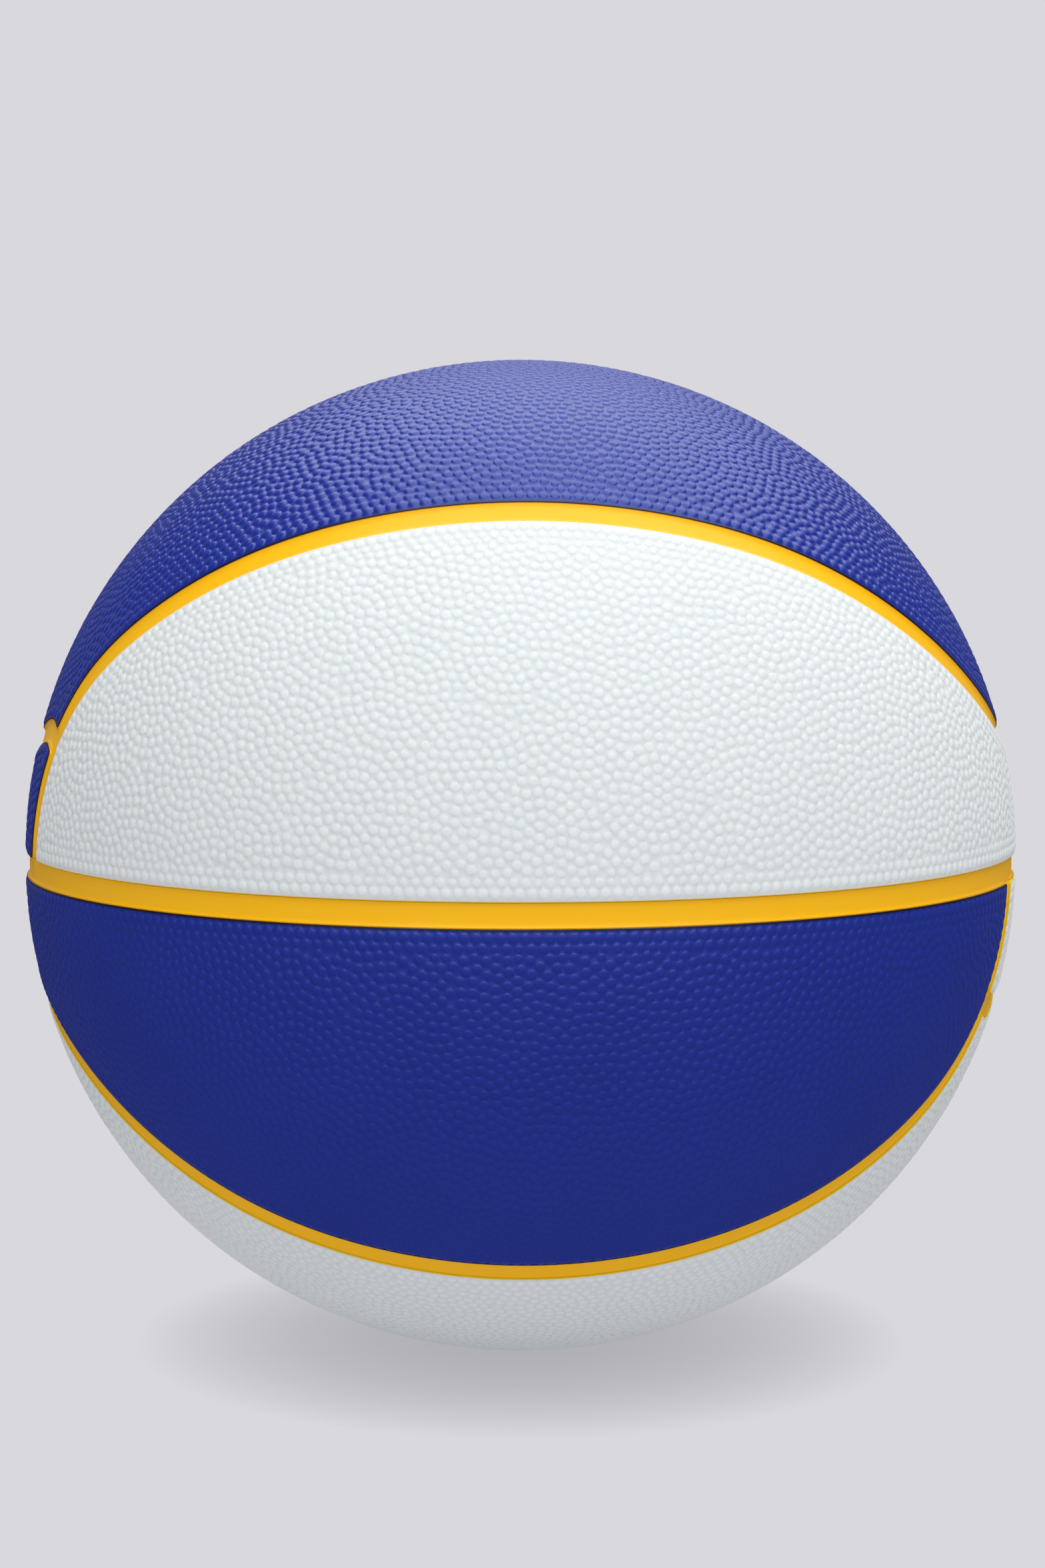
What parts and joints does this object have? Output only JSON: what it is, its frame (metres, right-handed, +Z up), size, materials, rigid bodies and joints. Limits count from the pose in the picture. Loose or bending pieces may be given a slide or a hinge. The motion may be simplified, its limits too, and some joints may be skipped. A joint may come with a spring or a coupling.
{
  "type": "basketball",
  "caption": "Inflated basketball with pebbled blue and white rubber panels, recessed gold seam strips, an air bladder and a removable valve plug.",
  "frame": {"origin": "middle of the ball", "axes": "+Z up, square to the middle seam; -Y towards the front, as seen in the picture; +X to the right of the picture"},
  "size_m": [0.2398, 0.2398, 0.2394],
  "materials": {
    "white_cover": "pebbled satin rubber, white",
    "blue_cover": "pebbled satin rubber, royal blue",
    "gold_seam": "smooth satin rubber, gold yellow",
    "carcass_rubber": "matt moulded rubber, near black",
    "winding_thread": "wound nylon thread, off-white",
    "butyl": "smooth butyl rubber, black",
    "valve_rubber": "smooth moulded rubber, black"
  },
  "bodies": {
    "ball": {"panel_upper_front": "white_cover", "panel_upper_back": "blue_cover", "panel_lower_front": "blue_cover", "panel_lower_back": "white_cover", "panel_top_front": "blue_cover", "panel_top_back": "white_cover", "panel_bottom_front": "white_cover", "panel_bottom_back": "blue_cover", "seam_middle": "gold_seam", "seam_upper_loop": "gold_seam", "seam_lower_loop": "gold_seam", "seam_top_divider": "gold_seam", "seam_bottom_divider": "gold_seam", "seam_upper_left_end": "gold_seam", "seam_upper_right_end": "gold_seam", "seam_lower_left_end": "gold_seam", "seam_lower_right_end": "gold_seam", "carcass": "carcass_rubber", "thread_winding": "winding_thread", "bladder": "butyl", "valve_boot": "valve_rubber"},
    "plug": {"valve_plug": "valve_rubber"}
  },
  "joints": [
    {"name": "valve_plug_pull", "type": "slide", "parent": "ball", "child": "plug", "axis": [0, 0.9272, 0.3746], "range_m": [0, 0.024]}
  ]
}
